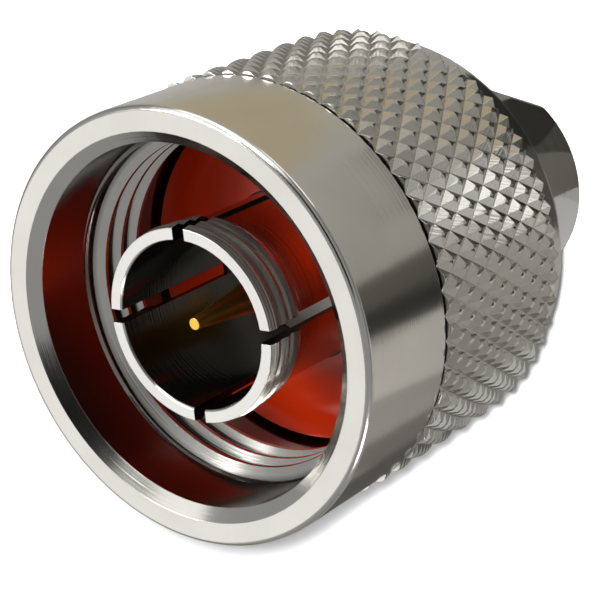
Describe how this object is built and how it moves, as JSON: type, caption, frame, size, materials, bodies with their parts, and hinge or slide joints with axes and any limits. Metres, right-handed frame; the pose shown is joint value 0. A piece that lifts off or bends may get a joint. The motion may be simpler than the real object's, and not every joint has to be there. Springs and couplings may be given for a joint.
{
  "type": "coaxial plug with coupling nut",
  "caption": "Clamp-type coaxial plug: knurled coupling nut that turns freely, slotted outer contact, tapered centre pin, red face gasket and a round clamp nut with two wrench flats.",
  "frame": {"origin": "centre of the clamp nut's end face, on the plug's axis", "axes": "+Z along the plug's axis from the cable end to the mouth, +X through the first slot of the outer contact"},
  "size_m": [0.0198, 0.0198, 0.025],
  "materials": {
    "nickel": "bright nickel plating on turned brass",
    "silver": "silver plating on turned brass",
    "gold": "gold plating on turned brass",
    "bronze": "plain phosphor bronze",
    "ptfe": "turned PTFE",
    "silicone": "moulded silicone rubber",
    "black_rubber": "moulded rubber"
  },
  "bodies": {
    "shell": {"body": "nickel", "clamp_nut": "nickel", "clamp_washer": "nickel", "cable_gasket": "black_rubber", "braid_clamp": "nickel", "rear_insulator": "ptfe", "front_insulator": "ptfe", "centre_pin": "gold", "outer_contact": "silver", "face_gasket": "silicone", "snap_ring": "bronze"},
    "coupling": {"coupling_nut": "nickel"}
  },
  "joints": [
    {"name": "nut_spin", "type": "hinge", "parent": "shell", "child": "coupling", "pos_m": [0, 0, 0.0112], "axis": [0, 0, 1], "continuous": true}
  ]
}
